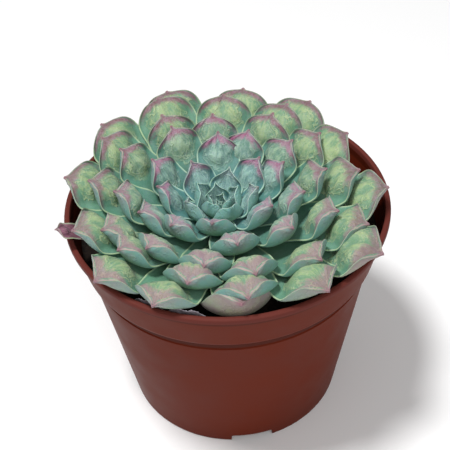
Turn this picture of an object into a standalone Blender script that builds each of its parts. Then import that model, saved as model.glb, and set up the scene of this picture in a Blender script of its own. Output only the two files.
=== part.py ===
"""A leaf rosette growing in a moulded nursery pot. Lengths below are in millimetres, +Z is up and the
foot of the pot stands on z = 0, with the pot's axis on the Z axis."""

import math
import random

import bmesh
import bpy
from mathutils import Matrix, Vector, noise

MM = 0.001

# Pot: a tapered body with a shallow neck at its top, a wider collar above it, and a rolled lip.
POT_HEIGHT = 90.7
FOOT_RADIUS = 43.0
FOOT_WIDTH = 3.0
BODY_TOP_RADIUS = 54.8
STEP_HEIGHT = 73.2
NECK_HEIGHT = 4.6
NECK_DEPTH = 0.4
COLLAR_FOOT_RADIUS = 56.2
COLLAR_TOP_RADIUS = 59.6
LIP_RADIUS = 60.7
LIP_HEIGHT = 2.5
WALL = 1.1
PLATE_BOTTOM = 4.2
PLATE_TOP = 5.7
POT_SEGMENTS = 56
DRAIN_RADIUS = 4.0
DRAIN_CIRCLE = 24.0
DRAIN_COUNT = 6
NOTCH_COUNT = 4
NOTCH_WIDTH = 16.5
NOTCH_HEIGHT = 3.8
NOTCH_TURN = math.radians(-83.0)

# Potting mix: fills the pot to below the lip, with a plain hole for the stem.
GAP = 0.35
MIX_TOP = 78.2
MIX_BUMP = 1.1
MIX_SEGMENTS = 44

# Rosette: leaves set by a spiral rule around a crown that leans a little to the front. Tips rise
# over a shallow dome, the youngest are still closed up in the heart, and the ones that would pass the
# pot's rim are held back and lifted by it.
CROWN = Vector((-2.7, -8.6, 99.5))
CROWN_LEAN = math.radians(5.2)
LEAF_COUNT = 64
FIRST_TURN = math.radians(45.7)
DIVERGENCE = math.radians(138.128)
REACH = 66.1
REACH_POWER = 0.743
DOME_RISE = 30.0
DOME_FALL = 28.6
HEART_CLOSED = 3.6
RIM_REACH = 65.5
SIDE_REACH = 61.0
FRONT_REACH = 59.0
RIM_LIFT = 0.2
RIM_NEAR = 60.0
RIM_CLEAR = 98.0
BASE_DROP_FIRST = 6.0
BASE_DROP_LAST = 19.0
HELD_UP = 59
HELD_UP_BEND = math.radians(60.0)
HELD_UP_PLUMP = 1.65
SHRIVELLED = 61
SHRIVELLED_WIDTH = 0.3
SHRIVELLED_PLUMP = 0.5

# Leaves that grew off the spiral's rule: how far outwards, and anticlockwise seen from above.
STRAYS = {
    10: (-1.0, 2.0),
    15: (-1.5, 3.0),
    16: (2.5, -3.0),
    17: (0.0, -3.0),
    18: (-1.0, 4.0),
    20: (1.5, -3.5),
    23: (-1.0, 2.5),
    24: (3.0, -1.0),
    25: (5.0, 0.5),
    27: (1.5, 5.0),
    28: (-2.5, 2.5),
    32: (1.5, 2.5),
    33: (2.5, 0.0),
    34: (1.0, -3.0),
    35: (2.0, 3.5),
    41: (1.0, 2.5),
    42: (3.5, -1.5),
    43: (-5.0, -6.0),
    44: (1.0, 3.5),
    45: (2.0, 3.5),
    49: (0.0, 4.5),
    50: (4.5, 0.0),
    51: (0.0, -4.5),
    55: (0.5, -5.0),
    56: (-3.0, 0.0),
}

# Leaf form, in half widths, on the young leaves stretched lengthwise, but for the edge's thickness, the horny point's length and the deepest
# belly: where it is widest, how far its edges stand up by the tip, fall to the widest place and stand
# up again towards the base, how far the blade arches, and the cushion that swells behind its tip,
# which is flatter on the sunny side, at the back.
EDGE = 0.7
POINT = 2.0
WIDEST = 0.95
CUP_TIP = 0.24
CUP_FALL = 0.26
CUP_BASE = 0.14
ARCH = 0.1
CUSHION_PLACE = 0.74
CUSHION_FRONT = 0.66
CUSHION_BACK = 0.74
CUSHION_WIDTH = 0.84
CUSHION_RISE = 0.48
CUSHION_FLATTER = 0.5
YOUNG_STRETCH = 0.4
BELLY = 0.4
BELLY_DEEPEST = 3.4

# Stem
STEM_FOOT = 58.2
STEM_RADIUS = 5.6

# Withered leaves: (compass angle, radius of the foot, length, width, climb), in degrees and mm.
WITHERED = (
    (-120.0, 52.6, 11.5, 12.0, 65.0),
    (-106.0, 52.4, 12.5, 12.5, 65.0),
    (-15.0, 41.0, 13.0, 8.0, 8.0),
    (203.0, 42.0, 12.0, 7.5, 6.0),
)
WITHERED_THICKNESS = 0.9


def smooth(low, high, value):
    t = min(max((value - low) / (high - low), 0.0), 1.0)
    return t * t * (3.0 - 2.0 * t)


def linear(hex_colour):
    """The linear colour of an sRGB hex code."""
    channels = [int(hex_colour[i : i + 2], 16) / 255 for i in (0, 2, 4)]
    return [c / 12.92 if c <= 0.04045 else ((c + 0.055) / 1.055) ** 2.4 for c in channels] + [1.0]


def material(name, hex_colour, roughness):
    made = bpy.data.materials.new(name)
    made.use_nodes = True
    shader = made.node_tree.nodes["Principled BSDF"]
    shader.inputs["Base Color"].default_value = linear(hex_colour)
    shader.inputs["Roughness"].default_value = roughness
    shader.inputs["Metallic"].default_value = 0.0
    return made


def object_from(bm, name, made_of, collection=None):
    """A smooth-shaded object from a mesh drawn in millimetres."""
    bmesh.ops.recalc_face_normals(bm, faces=bm.faces)
    bmesh.ops.scale(bm, vec=(MM, MM, MM), verts=bm.verts)
    mesh = bpy.data.meshes.new(name)
    bm.to_mesh(mesh)
    bm.free()
    mesh.materials.append(made_of)
    mesh.shade_smooth()
    mesh.set_sharp_from_angle(angle=math.radians(40))
    obj = bpy.data.objects.new(name, mesh)
    (collection or bpy.context.scene.collection).objects.link(obj)
    return obj


def spun(profile, segments, closed):
    """The surface of revolution of a profile of (radius, height) points."""
    bm = bmesh.new()
    points = [bm.verts.new((radius, 0.0, height)) for radius, height in profile]
    edges = [bm.edges.new(pair) for pair in zip(points, points[1:])]
    if closed:
        edges.append(bm.edges.new((points[-1], points[0])))
    bmesh.ops.spin(
        bm,
        geom=points + edges,
        axis=(0, 0, 1),
        cent=(0, 0, 0),
        angle=2 * math.pi,
        steps=segments,
        use_merge=True,
        use_duplicate=False,
    )
    bmesh.ops.remove_doubles(bm, verts=bm.verts, dist=0.001)
    return bm


def cutter(bm, name):
    made = object_from(bm, name, bpy.data.materials["pot_plastic"])
    made.hide_render = True
    made.display_type = "WIRE"
    return made


def body_radius(height):
    """The pot's outer wall below the step."""
    return FOOT_RADIUS + height / STEP_HEIGHT * (BODY_TOP_RADIUS - FOOT_RADIUS)


def inner_radius(height):
    """The pot's inner wall, below and above the step."""
    if height < STEP_HEIGHT:
        return body_radius(height) - WALL
    share = (height - STEP_HEIGHT) / (POT_HEIGHT - LIP_HEIGHT - STEP_HEIGHT)
    return COLLAR_FOOT_RADIUS + share * (COLLAR_TOP_RADIUS - COLLAR_FOOT_RADIUS) - WALL


def make_pot():
    collar_top = POT_HEIGHT - LIP_HEIGHT
    profile = [
        (DRAIN_RADIUS, PLATE_BOTTOM),
        (FOOT_RADIUS - FOOT_WIDTH - 0.2, PLATE_BOTTOM),
        (FOOT_RADIUS - FOOT_WIDTH, 0.0),
        (FOOT_RADIUS - 0.4, 0.0),
        (FOOT_RADIUS, 0.5),
        (body_radius(STEP_HEIGHT - NECK_HEIGHT - 0.5), STEP_HEIGHT - NECK_HEIGHT - 0.5),
        (body_radius(STEP_HEIGHT - NECK_HEIGHT) - NECK_DEPTH, STEP_HEIGHT - NECK_HEIGHT),
        (BODY_TOP_RADIUS - NECK_DEPTH, STEP_HEIGHT - 0.1),
        (COLLAR_FOOT_RADIUS, STEP_HEIGHT + 0.2),
        (COLLAR_TOP_RADIUS, collar_top),
        (LIP_RADIUS - 0.2, collar_top + 0.1),
        (LIP_RADIUS, collar_top + 0.5),
        (LIP_RADIUS, POT_HEIGHT - 0.8),
        (LIP_RADIUS - 0.6, POT_HEIGHT),
        (COLLAR_TOP_RADIUS - WALL + 0.6, POT_HEIGHT),
        (COLLAR_TOP_RADIUS - WALL, POT_HEIGHT - 0.5),
        (inner_radius(collar_top), collar_top),
        (inner_radius(STEP_HEIGHT + 0.6), STEP_HEIGHT + 0.6),
        (inner_radius(STEP_HEIGHT - 0.01), STEP_HEIGHT - 0.6),
        (inner_radius(PLATE_TOP + 1.0), PLATE_TOP + 1.0),
        (inner_radius(PLATE_TOP) - 1.0, PLATE_TOP),
        (DRAIN_RADIUS, PLATE_TOP),
    ]
    pot = object_from(
        spun(profile, POT_SEGMENTS, closed=True),
        "pot",
        material("pot_plastic", "86463A", 0.5),
    )

    holes = bmesh.new()
    for index in range(DRAIN_COUNT):
        turn = Matrix.Rotation(index * 2 * math.pi / DRAIN_COUNT, 4, "Z")
        bmesh.ops.create_cone(
            holes,
            segments=16,
            radius1=DRAIN_RADIUS - 0.5,
            radius2=DRAIN_RADIUS - 0.5,
            depth=6.0,
            cap_ends=True,
            matrix=turn @ Matrix.Translation((DRAIN_CIRCLE, 0, PLATE_BOTTOM)),
        )
    notches = bmesh.new()
    for index in range(NOTCH_COUNT):
        turn = Matrix.Rotation(NOTCH_TURN + index * 2 * math.pi / NOTCH_COUNT, 4, "Z")
        size = Matrix.Diagonal((8.0, NOTCH_WIDTH, 2 * NOTCH_HEIGHT, 1.0))
        place = turn @ Matrix.Translation((FOOT_RADIUS - 1.0, 0, 0))
        bmesh.ops.create_cube(notches, size=1.0, matrix=place @ size)
    for cutting in (cutter(holes, "drain_cutter"), cutter(notches, "notch_cutter")):
        cut = pot.modifiers.new(cutting.name, "BOOLEAN")
        cut.operation = "DIFFERENCE"
        cut.object = cutting


def stem_centre(height):
    """Where the stem's centre line is at a height: straight from its foot up to the crown."""
    below = CROWN - crown_axes()[0] * BASE_DROP_LAST
    share = (height - STEM_FOOT) / (below.z - STEM_FOOT)
    return Vector((below.x * share, below.y * share, height))


def mix_top(x, y):
    """The height of the potting mix, which is crumbly but flat by the wall."""
    point = Vector((x / 8.0, y / 8.0, 3.1))
    bump = noise.noise(point) + 0.45 * noise.noise(point * 2.6)
    return MIX_TOP + MIX_BUMP * bump * smooth(54.0, 46.0, math.hypot(x, y))


def make_mix():
    hole = STEM_RADIUS + GAP
    edge = inner_radius(MIX_TOP) - GAP
    profile = [
        (0.0, PLATE_TOP + GAP),
        (inner_radius(PLATE_TOP) - 1.3 - GAP, PLATE_TOP + GAP),
        (inner_radius(PLATE_TOP + 1.6) - GAP, PLATE_TOP + 1.6),
        (inner_radius(STEP_HEIGHT - 0.4) - GAP, STEP_HEIGHT - 0.4),
        (inner_radius(STEP_HEIGHT + 1.2) - GAP, STEP_HEIGHT + 1.2),
        (edge, MIX_TOP),
    ]
    profile += [(edge + (hole - edge) * k / 9.0, MIX_TOP) for k in range(1, 9)]
    profile += [(hole, MIX_TOP), (hole, 70.0), (hole, STEM_FOOT - 0.3), (0.0, STEM_FOOT - 0.3)]
    bm = spun(profile, MIX_SEGMENTS, closed=False)
    for vert in bm.verts:
        radius = math.hypot(vert.co.x, vert.co.y)
        above = vert.co.z > STEM_FOOT - 1.0 and radius < edge - 0.1
        if above and (vert.co.z > MIX_TOP - 0.1 or radius < hole + 0.1):
            shift = stem_centre(vert.co.z) * (1.0 - max(radius - hole, 0.0) / (edge - hole))
            vert.co.x += shift.x
            vert.co.y += shift.y
            if vert.co.z > MIX_TOP - 0.1:
                vert.co.z = mix_top(vert.co.x, vert.co.y)
    object_from(bm, "potting_mix", material("peat_mix", "2A221D", 0.95))


def crown_axes():
    """The crown's own axis, and two directions square to it."""
    up = Vector((0.0, -math.sin(CROWN_LEAN), math.cos(CROWN_LEAN)))
    across = Vector((1.0, 0.0, 0.0))
    return up, across, up.cross(across)


def leaf_places():
    """For each leaf of the spiral: its number, base point, tip point and spread from the crown."""
    up, across, ahead = crown_axes()
    places = []
    for number in range(LEAF_COUNT):
        spread = REACH * ((number + 0.5) / LEAF_COUNT) ** REACH_POWER
        spread -= HEART_CLOSED * smooth(0.0, 5.0, number) * smooth(16.0, 7.0, number)
        turn = FIRST_TURN + DIVERGENCE * number
        further, sideways = STRAYS.get(number, (0.0, 0.0))
        turn += sideways / spread
        spread += further
        out = across * math.cos(turn) + ahead * math.sin(turn)
        rise = DOME_RISE * spread / 60 - DOME_FALL * (spread / 60) ** 2
        tip = CROWN + out * spread + up * rise
        past_rim = math.hypot(tip.x, tip.y) - RIM_REACH
        overhang = max(past_rim, abs(tip.x) - SIDE_REACH, -tip.y - FRONT_REACH, 0.0)
        tip -= out * overhang
        tip.z += RIM_LIFT * overhang
        if math.hypot(tip.x, tip.y) > RIM_NEAR:
            tip.z = max(tip.z, RIM_CLEAR)
        drop = BASE_DROP_FIRST + (BASE_DROP_LAST - BASE_DROP_FIRST) * number / LEAF_COUNT
        base = CROWN + out * (0.6 + 2.4 * number / LEAF_COUNT) - up * drop
        places.append((number, base, tip, spread))
    return places


def half_width(left, whole, point, blunt):
    """The blade's outline as a share of its half width. The place along the leaf is given as what is
    left of it to the tip, in half widths: a taper from the base, then an arch, and at its top a small
    horny point."""
    if left > WIDEST:
        return 0.27 + 0.73 * (1.0 - ((left - WIDEST) / (whole - WIDEST)) ** 1.7)
    arch = max(1.0 - ((WIDEST - left) / (WIDEST - 0.5 * point)) ** blunt, 0.0) ** 0.72
    horn = 0.05 + 0.18 * min(left / point, 1.0) ** 1.3
    return (arch**3 + horn**3) ** (1 / 3) if left < point else max(arch, horn)


def leaf_height(left, whole, v, half, upper, share, swell, plump):
    """The height of the upper or lower face above the midline, v being -1 and 1 at the edges. The
    edges stand up almost to the tip, where they dip to the point. The upper face swells behind the
    point into a fleshy cushion."""
    across = abs(v)
    cup = CUP_TIP * smooth(0.0, 0.3, left) - CUP_FALL * smooth(0.3, 0.9, left)
    cup = half * (cup + CUP_BASE * smooth(1.0, 1.7, left))
    arch = ARCH * half * smooth(0.0, 0.4, left) * smooth(whole, 0.5 * whole, left)
    edge = cup * across**1.9 + arch
    if upper:
        place = (left - CUSHION_PLACE) / (CUSHION_FRONT if left < CUSHION_PLACE else CUSHION_BACK)
        near = place**2 + (across * share / CUSHION_WIDTH) ** 2
        ease = 0.9 + 0.8 * smooth(-0.2, 0.6, place)
        return edge + swell * half * max(1.0 - near**1.4, 0.0) ** ease * (1.0 - across**6)
    belly = min(BELLY * half, BELLY_DEEPEST) * (1.0 - 0.7 * smooth(1.4, 0.9 * whole, left))
    belly *= 1.0 + (plump - 1.0) * smooth(1.9, 1.1, left)
    belly *= 1.0 - 0.9 * smooth(0.75, 0.0, left) ** 1.3
    return edge - EDGE - belly * max(1.0 - across**2.2, 0.0) ** 0.8


def leaf_half(spread, number):
    half = (5.1 + 0.112 * spread) * min(0.76 + 0.04 * number, 1.0)
    return half * SHRIVELLED_WIDTH if number == SHRIVELLED else half


def leaf_bend(spread, number):
    """How far the midline turns upward: the crowded middle most, the leaves over the rim least, but
    for one that the rim holds up."""
    if number == HELD_UP:
        return HELD_UP_BEND
    return math.radians(72.0 - 0.52 * spread - 18.0 * smooth(46.0, 60.0, spread))


def leaf_mesh(number, base, tip, spread, stations, ring):
    """A closed leaf from base to tip. The midline is an arc that turns upward; each row of the grid
    wraps round it, over the upper face and back under the lower one."""
    chance = random.Random(number)
    half = leaf_half(spread, number) * chance.uniform(0.97, 1.03)
    bend = leaf_bend(spread, number) * chance.uniform(0.94, 1.06)
    swell = CUSHION_RISE * chance.uniform(0.88, 1.08) * smooth(2.0, 18.0, number)
    unit = half * (1.0 + YOUNG_STRETCH * smooth(0.6 * REACH, 0.2 * REACH, spread))
    point = min(POINT * chance.uniform(0.85, 1.15) / unit, 0.4)
    sway = chance.uniform(-0.1, 0.1)
    blunt = 2.1 - 0.85 * smooth(13.0, 4.0, number)
    plump = {HELD_UP: HELD_UP_PLUMP, SHRIVELLED: SHRIVELLED_PLUMP}.get(number, 1.0)
    up = crown_axes()[0]
    chord = tip - base
    out = (chord - up * chord.dot(up)).normalized()
    swell *= 1.0 - CUSHION_FLATTER * (0.5 + 0.5 * out.y)
    side = up.cross(out)
    start = math.atan2(chord.dot(up), chord.dot(out)) - bend / 2
    radius = chord.length / (2 * math.sin(bend / 2))
    whole = radius * bend / unit
    rows = [whole, 0.5 * (whole + stations[0])] + list(stations)
    bm = bmesh.new()
    bmesh.ops.create_grid(bm, x_segments=len(rows) - 1, y_segments=len(ring), size=1.0)
    for vert in bm.verts:
        left = rows[round((vert.co.x + 1) / 2 * (len(rows) - 1))]
        upper, v = ring[round((vert.co.y + 1) / 2 * len(ring)) % len(ring)]
        angle = start + bend * (1.0 - left / whole)
        share = half_width(left, whole, point, blunt)
        height = leaf_height(left, whole, v, half, upper, share, swell, plump)
        along = radius * (math.sin(angle) - math.sin(start)) - height * math.sin(angle)
        rise = radius * (math.cos(start) - math.cos(angle)) + height * math.cos(angle)
        wide = half * (v * share + sway * smooth(1.0, 0.0, left))
        vert.co = base + out * along + up * rise + side * wide
    bmesh.ops.remove_doubles(bm, verts=bm.verts, dist=0.001)
    bmesh.ops.holes_fill(bm, edges=bm.edges, sides=0)
    return bm


def ring_of(upper, lower):
    """Once round a leaf: the upper face from edge to edge, then the lower face back."""
    return [(True, v) for v in upper] + [(False, v) for v in reversed(lower)]


FULL_STATIONS = (1.35, 1.0, 0.72, 0.34, 0.13, 0.0)
FULL_RING = ring_of((-1.0, -0.5, 0.0, 0.5, 1.0), (-1.0, 0.0, 1.0))
SMALL_STATIONS = (1.2, 0.4, 0.0)
SMALL_RING = ring_of((-1.0, 0.0, 1.0), (-1.0, 0.0, 1.0))


def drop_pockets(mesh):
    """Joins nearly flat faces, then fills the sealed pockets that the union leaves between leaf bases
    by keeping only the outer skin."""
    bm = bmesh.new()
    bm.from_mesh(mesh)
    bmesh.ops.dissolve_limit(bm, angle_limit=math.radians(6.0), verts=bm.verts, edges=bm.edges)
    bmesh.ops.triangulate(bm, faces=bm.faces)
    left = set(bm.faces)
    skins = []
    while left:
        skin = {left.pop()}
        front = list(skin)
        while front:
            plain = [edge for edge in front.pop().edges if len(edge.link_faces) == 2]
            around = {f for edge in plain for f in edge.link_faces} & left
            left -= around
            skin |= around
            front += around
        skins.append(skin)
    outer = max(skins, key=len)
    bmesh.ops.delete(bm, geom=[f for f in bm.faces if f not in outer], context="FACES")
    bm.to_mesh(mesh)
    bm.free()


def make_rosette():
    green = material("leaf_green", "7FA88C", 0.55)
    pieces = bpy.data.collections.new("rosette_pieces")
    bpy.context.scene.collection.children.link(pieces)
    for number, base, tip, spread in leaf_places():
        small = number < 14
        stations = SMALL_STATIONS if small else FULL_STATIONS
        ring = SMALL_RING if small else FULL_RING
        bm = leaf_mesh(number, base, tip, spread, stations, ring)
        object_from(bm, f"leaf_{number:02d}", green, pieces)

    up = crown_axes()[0]
    lowest = CROWN - up * BASE_DROP_LAST
    levels = [
        (stem_centre(STEM_FOOT), STEM_RADIUS - 1.0),
        (stem_centre(STEM_FOOT + 2.0), STEM_RADIUS),
        (stem_centre(MIX_TOP), STEM_RADIUS),
        (lowest, STEM_RADIUS + 1.0),
        (CROWN - up * 10.0, STEM_RADIUS + 1.0),
        (CROWN - up * 5.0, 2.4),
    ]
    profile = [(0.0, 0.0)] + [(radius, float(k)) for k, (_, radius) in enumerate(levels)]
    bm = spun(profile + [(0.0, len(levels) - 1.0)], 14, closed=False)
    for vert in bm.verts:
        middle = levels[round(vert.co.z)][0]
        vert.co = Vector((vert.co.x + middle.x, vert.co.y + middle.y, middle.z))
    rosette = object_from(bm, "rosette", green)

    join = rosette.modifiers.new("join_leaves", "BOOLEAN")
    join.operation = "UNION"
    join.operand_type = "COLLECTION"
    join.collection = pieces
    join.solver = "MANIFOLD"
    graph = bpy.context.evaluated_depsgraph_get()
    joined = bpy.data.meshes.new_from_object(rosette.evaluated_get(graph))
    rosette.modifiers.clear()
    drop_pockets(joined)
    rosette.data = joined
    for piece in list(pieces.objects):
        bpy.data.objects.remove(piece)
    bpy.data.collections.remove(pieces)


def make_withered():
    papery = material("withered_leaf", "8E8487", 0.85)
    for index, (turn, foot, length, width, climb) in enumerate(WITHERED, start=1):
        bm = bmesh.new()
        bmesh.ops.create_grid(bm, x_segments=6, y_segments=4, size=1.0)
        turned = Matrix.Rotation(math.radians(turn), 3, "Z")
        slope = math.radians(climb)
        for vert in bm.verts:
            u, v = (vert.co.x + 1) / 2, vert.co.y
            taper = 0.35 + 0.65 * math.cos(2.2 * (u - 0.45))
            crumple = abs(noise.noise(Vector((u * 2.3, v * 1.4, index * 7.0))))
            spread = turned @ Vector((foot + length * u * math.cos(slope), v * width / 2 * taper, 0.0))
            lift = length * u * math.sin(slope) + 0.5 * v * v + 1.6 * crumple * u
            height = mix_top(spread.x, spread.y) + GAP + WITHERED_THICKNESS + lift
            vert.co = Vector((spread.x, spread.y, height))
        bmesh.ops.solidify(bm, geom=bm.faces, thickness=WITHERED_THICKNESS)
        object_from(bm, f"withered_leaf_{index}", papery)


def main():
    for obj in list(bpy.data.objects):
        bpy.data.objects.remove(obj)
    make_pot()
    make_mix()
    make_rosette()
    make_withered()


main()
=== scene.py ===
"""Looks of a potted echeveria: a rosette of spoon-shaped leaves in a moulded nursery pot of peat mix.
Lengths are in millimetres until a piece is finished, with +Z up and the pot's axis on Z."""

import math
import random
from types import SimpleNamespace

import bmesh
import bpy
from mathutils import Matrix, Vector, kdtree, noise


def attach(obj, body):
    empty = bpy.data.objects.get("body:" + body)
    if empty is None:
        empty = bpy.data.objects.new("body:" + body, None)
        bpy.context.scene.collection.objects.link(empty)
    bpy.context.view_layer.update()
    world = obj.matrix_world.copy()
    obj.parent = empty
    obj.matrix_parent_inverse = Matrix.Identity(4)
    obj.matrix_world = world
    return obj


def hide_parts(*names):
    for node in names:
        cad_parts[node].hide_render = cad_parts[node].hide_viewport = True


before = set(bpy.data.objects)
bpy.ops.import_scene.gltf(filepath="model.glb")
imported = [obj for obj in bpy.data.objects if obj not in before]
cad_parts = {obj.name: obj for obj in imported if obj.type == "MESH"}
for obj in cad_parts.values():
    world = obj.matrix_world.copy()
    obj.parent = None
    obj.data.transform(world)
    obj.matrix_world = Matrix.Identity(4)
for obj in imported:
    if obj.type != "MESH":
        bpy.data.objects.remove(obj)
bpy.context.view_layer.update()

MM = 0.001

# Pot
POT_HEIGHT = 90.7
FOOT_RADIUS = 43.0
FOOT_WIDTH = 3.0
BODY_TOP_RADIUS = 54.8
STEP_HEIGHT = 73.2
NECK_FOOT = STEP_HEIGHT - 4.6
NECK_DEPTH = 0.4
COLLAR_FOOT_RADIUS = 56.2
COLLAR_TOP_RADIUS = 59.6
LIP_RADIUS = 60.7
COLLAR_TOP = POT_HEIGHT - 2.5
WALL = 1.1
POT_SEGMENTS = 128
POT_CREASE = math.radians(32.0)
PLATE_BOTTOM = 4.2
PLATE_TOP = 5.7
MIDDLE_DRAIN_RADIUS = 4.0
DRAIN_RADIUS = 3.5
DRAIN_CIRCLE = 24.0
DRAIN_COUNT = 6
DRAIN_CUT = 6.0
NOTCH_COUNT = 4
NOTCH_WIDTH = 16.5
NOTCH_HEIGHT = 3.8
NOTCH_DEPTH = 8.0
NOTCH_ROUNDING = 0.8
NOTCH_TURN = math.radians(-83.0)

# Potting mix
GAP = 0.35
MIX_TOP = 78.2
MIX_BUMP = 1.1
MIX_SEGMENTS = 256
MIX_RINGS = 70
CRUMB_HEIGHT = 1.5
CRUMB_SUNK = 0.35

# Rosette: the crown, and the spiral that the leaves' tips follow
CROWN = Vector((-2.7, -8.6, 99.5))
CROWN_LEAN = math.radians(5.2)
LEAF_COUNT = 64
BUD_COUNT = 5
FIRST_TURN = math.radians(45.7)
DIVERGENCE = math.radians(138.128)
REACH = 66.1
REACH_POWER = 0.743
DOME_RISE = 30.0
DOME_FALL = 28.6
RIM_REACH = 65.5
SIDE_REACH = 61.0
FRONT_REACH = 59.0
RIM_LIFT = 0.2
RIM_NEAR = 60.0
RIM_CLEAR = 98.0
BASE_DROP_FIRST = 6.0
BASE_DROP_LAST = 19.0
HEART_CLOSED = 3.6
STEM_FOOT = 58.2
STEM_RADIUS = 5.6

# Leaves that grew off the spiral's rule: how far outwards, and anticlockwise seen from above.
STRAYS = {
    10: (-1.0, 2.0),
    15: (-1.5, 3.0),
    16: (2.5, -3.0),
    17: (0.0, -3.0),
    18: (-1.0, 4.0),
    20: (1.5, -3.5),
    23: (-1.0, 2.5),
    24: (3.0, -1.0),
    25: (5.0, 0.5),
    27: (1.5, 5.0),
    28: (-2.5, 2.5),
    32: (1.5, 2.5),
    33: (2.5, 0.0),
    34: (1.0, -3.0),
    35: (2.0, 3.5),
    41: (1.0, 2.5),
    42: (3.5, -1.5),
    43: (-5.0, -6.0),
    44: (1.0, 3.5),
    45: (2.0, 3.5),
    49: (0.0, 4.5),
    50: (4.5, 0.0),
    51: (0.0, -4.5),
    55: (0.5, -5.0),
    56: (-3.0, 0.0),
}

# One plump leaf is held up by the rim, and one shrivelled.
HELD_UP = 59
HELD_UP_BEND = math.radians(60.0)
HELD_UP_PLUMP = 1.65
SHRIVELLED = 61
SHRIVELLED_WIDTH = 0.3
SHRIVELLED_PLUMP = 0.5

# A leaf's half width and bend, which change with the spread of its tip from the crown in mm
HALF_WIDTH_FIRST = 5.1
HALF_WIDTH_GROWTH = 0.112
BEND_FIRST = 72.0
BEND_LOSS = 0.52
BEND_LOSS_AT_RIM = 18.0

# A leaf's shape: the edge, the folds, the point and the belly's depth in mm, the rest in half widths
EDGE = 0.7
EDGE_BULGE = 0.22
BEAD = 0.4
FOLD = 0.4
POINT = 2.0
BELLY_DEEPEST = 3.4
BELLY = 0.4
WIDEST = 0.95
CUP_TIP = 0.24
CUP_FALL = 0.26
CUP_BASE = 0.14
ARCH = 0.1
CUSHION_PLACE = 0.74
CUSHION_FRONT = 0.66
CUSHION_BACK = 0.74
CUSHION_WIDTH = 0.84
CUSHION_RISE = 0.48
CUSHION_FLATTER = 0.5
YOUNG_STRETCH = 0.4

# A leaf's grid: rows from base to tip, points on half its width, and points that trace its outline
LEAF_STEPS = 56
LEAF_COLUMNS = 20
OUTLINE_POINTS = 240

# What each leaf's points carry: the place along it, in half widths left to the tip, and across it;
# how far the margin is, in mm; whether it is the upper face; how far out the leaf grows, from 0 to 1;
# a number of the leaf's own; whether it shrivelled; how far it points to the back; the skin's folds.
LEAF_MARKS = ("left", "across", "rim_mm", "upper_face", "ring", "tone", "dried", "sunny", "fold")

# Withered leaves: the angle about the pot's axis in degrees, the radius where the leaf starts, its
# length and width, and its climb in degrees.
WITHERED = (
    (-120.0, 52.6, 11.5, 12.0, 65.0),
    (-106.0, 52.4, 12.5, 12.5, 65.0),
    (-15.0, 41.0, 13.0, 8.0, 8.0),
    (203.0, 42.0, 12.0, 7.5, 6.0),
)
WITHERED_LIFT = 0.9
WITHERED_SKIN = 0.35

# Lights: name, place and size in metres, and power in watts
LIGHTS = (
    ("key", (-0.38, -0.1, 1.5), 0.32, 18.1),
    ("fill", (0.2, -0.7, 0.75), 0.5, 3.0),
)
LIGHT_TARGET = Vector((0.0, 0.0, 0.06))
ROOM_STRENGTH = 0.29
FLOOR_HALF = 3000.0

# Camera, fitted to the pot in the photograph: lengths in metres, the sensor's width in mm, and the
# focal length in pixels of a picture 450 across
CAMERA_ELEVATION = math.radians(42.28)
CAMERA_ROLL = math.radians(3.09)
CAMERA_TARGET = Vector((-0.00116, 0.0, 0.078))
CAMERA_DISTANCE = 0.3796
SENSOR = 36.0
FOCAL_PIXELS = 995.0
PICTURE_PIXELS = 450.0

# Settings that many nodes share
SUM = {"operation": "ADD"}
TIMES = {"operation": "MULTIPLY"}
TIMES_PLUS = {"operation": "MULTIPLY_ADD"}
SOFT = {"interpolation_type": "SMOOTHSTEP"}
COLOUR = {"data_type": "RGBA"}
BUMP_FILTER = 0.1


def smooth(low, high, value):
    """A soft step from 0 at low to 1 at high."""
    t = min(max((value - low) / (high - low), 0.0), 1.0)
    return t * t * (3.0 - 2.0 * t)


def linear(hex_colour):
    """The linear colour of an sRGB hex code."""
    channels = [int(hex_colour[i : i + 2], 16) / 255 for i in (0, 2, 4)]
    return [c / 12.92 if c <= 0.04045 else ((c + 0.055) / 1.055) ** 2.4 for c in channels] + [1.0]


# Materials


def new_material(name, recipe):
    """A material whose Principled shader takes what the recipe gives for its sockets. The recipe adds
    its nodes by one function: a node's sockets take values, or other nodes' outputs, in their order."""
    made = bpy.data.materials.new(name)
    made.use_nodes = True
    tree = made.node_tree

    def fill(socket, value):
        if isinstance(value, bpy.types.NodeSocket):
            tree.links.new(value, socket)
        else:
            socket.default_value = value

    def node(kind, *values, output=None, **settings):
        added = tree.nodes.new("ShaderNode" + kind)
        for key, value in settings.items():
            setattr(added, key, value)
        for socket, value in zip([socket for socket in added.inputs if socket.enabled], values):
            fill(socket, value)
        return next(s for s in added.outputs if s.enabled and output in (None, s.name))

    shader = tree.nodes["Principled BSDF"]
    for key, value in recipe(node).items():
        fill(shader.inputs[key], value)
    return made


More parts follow.
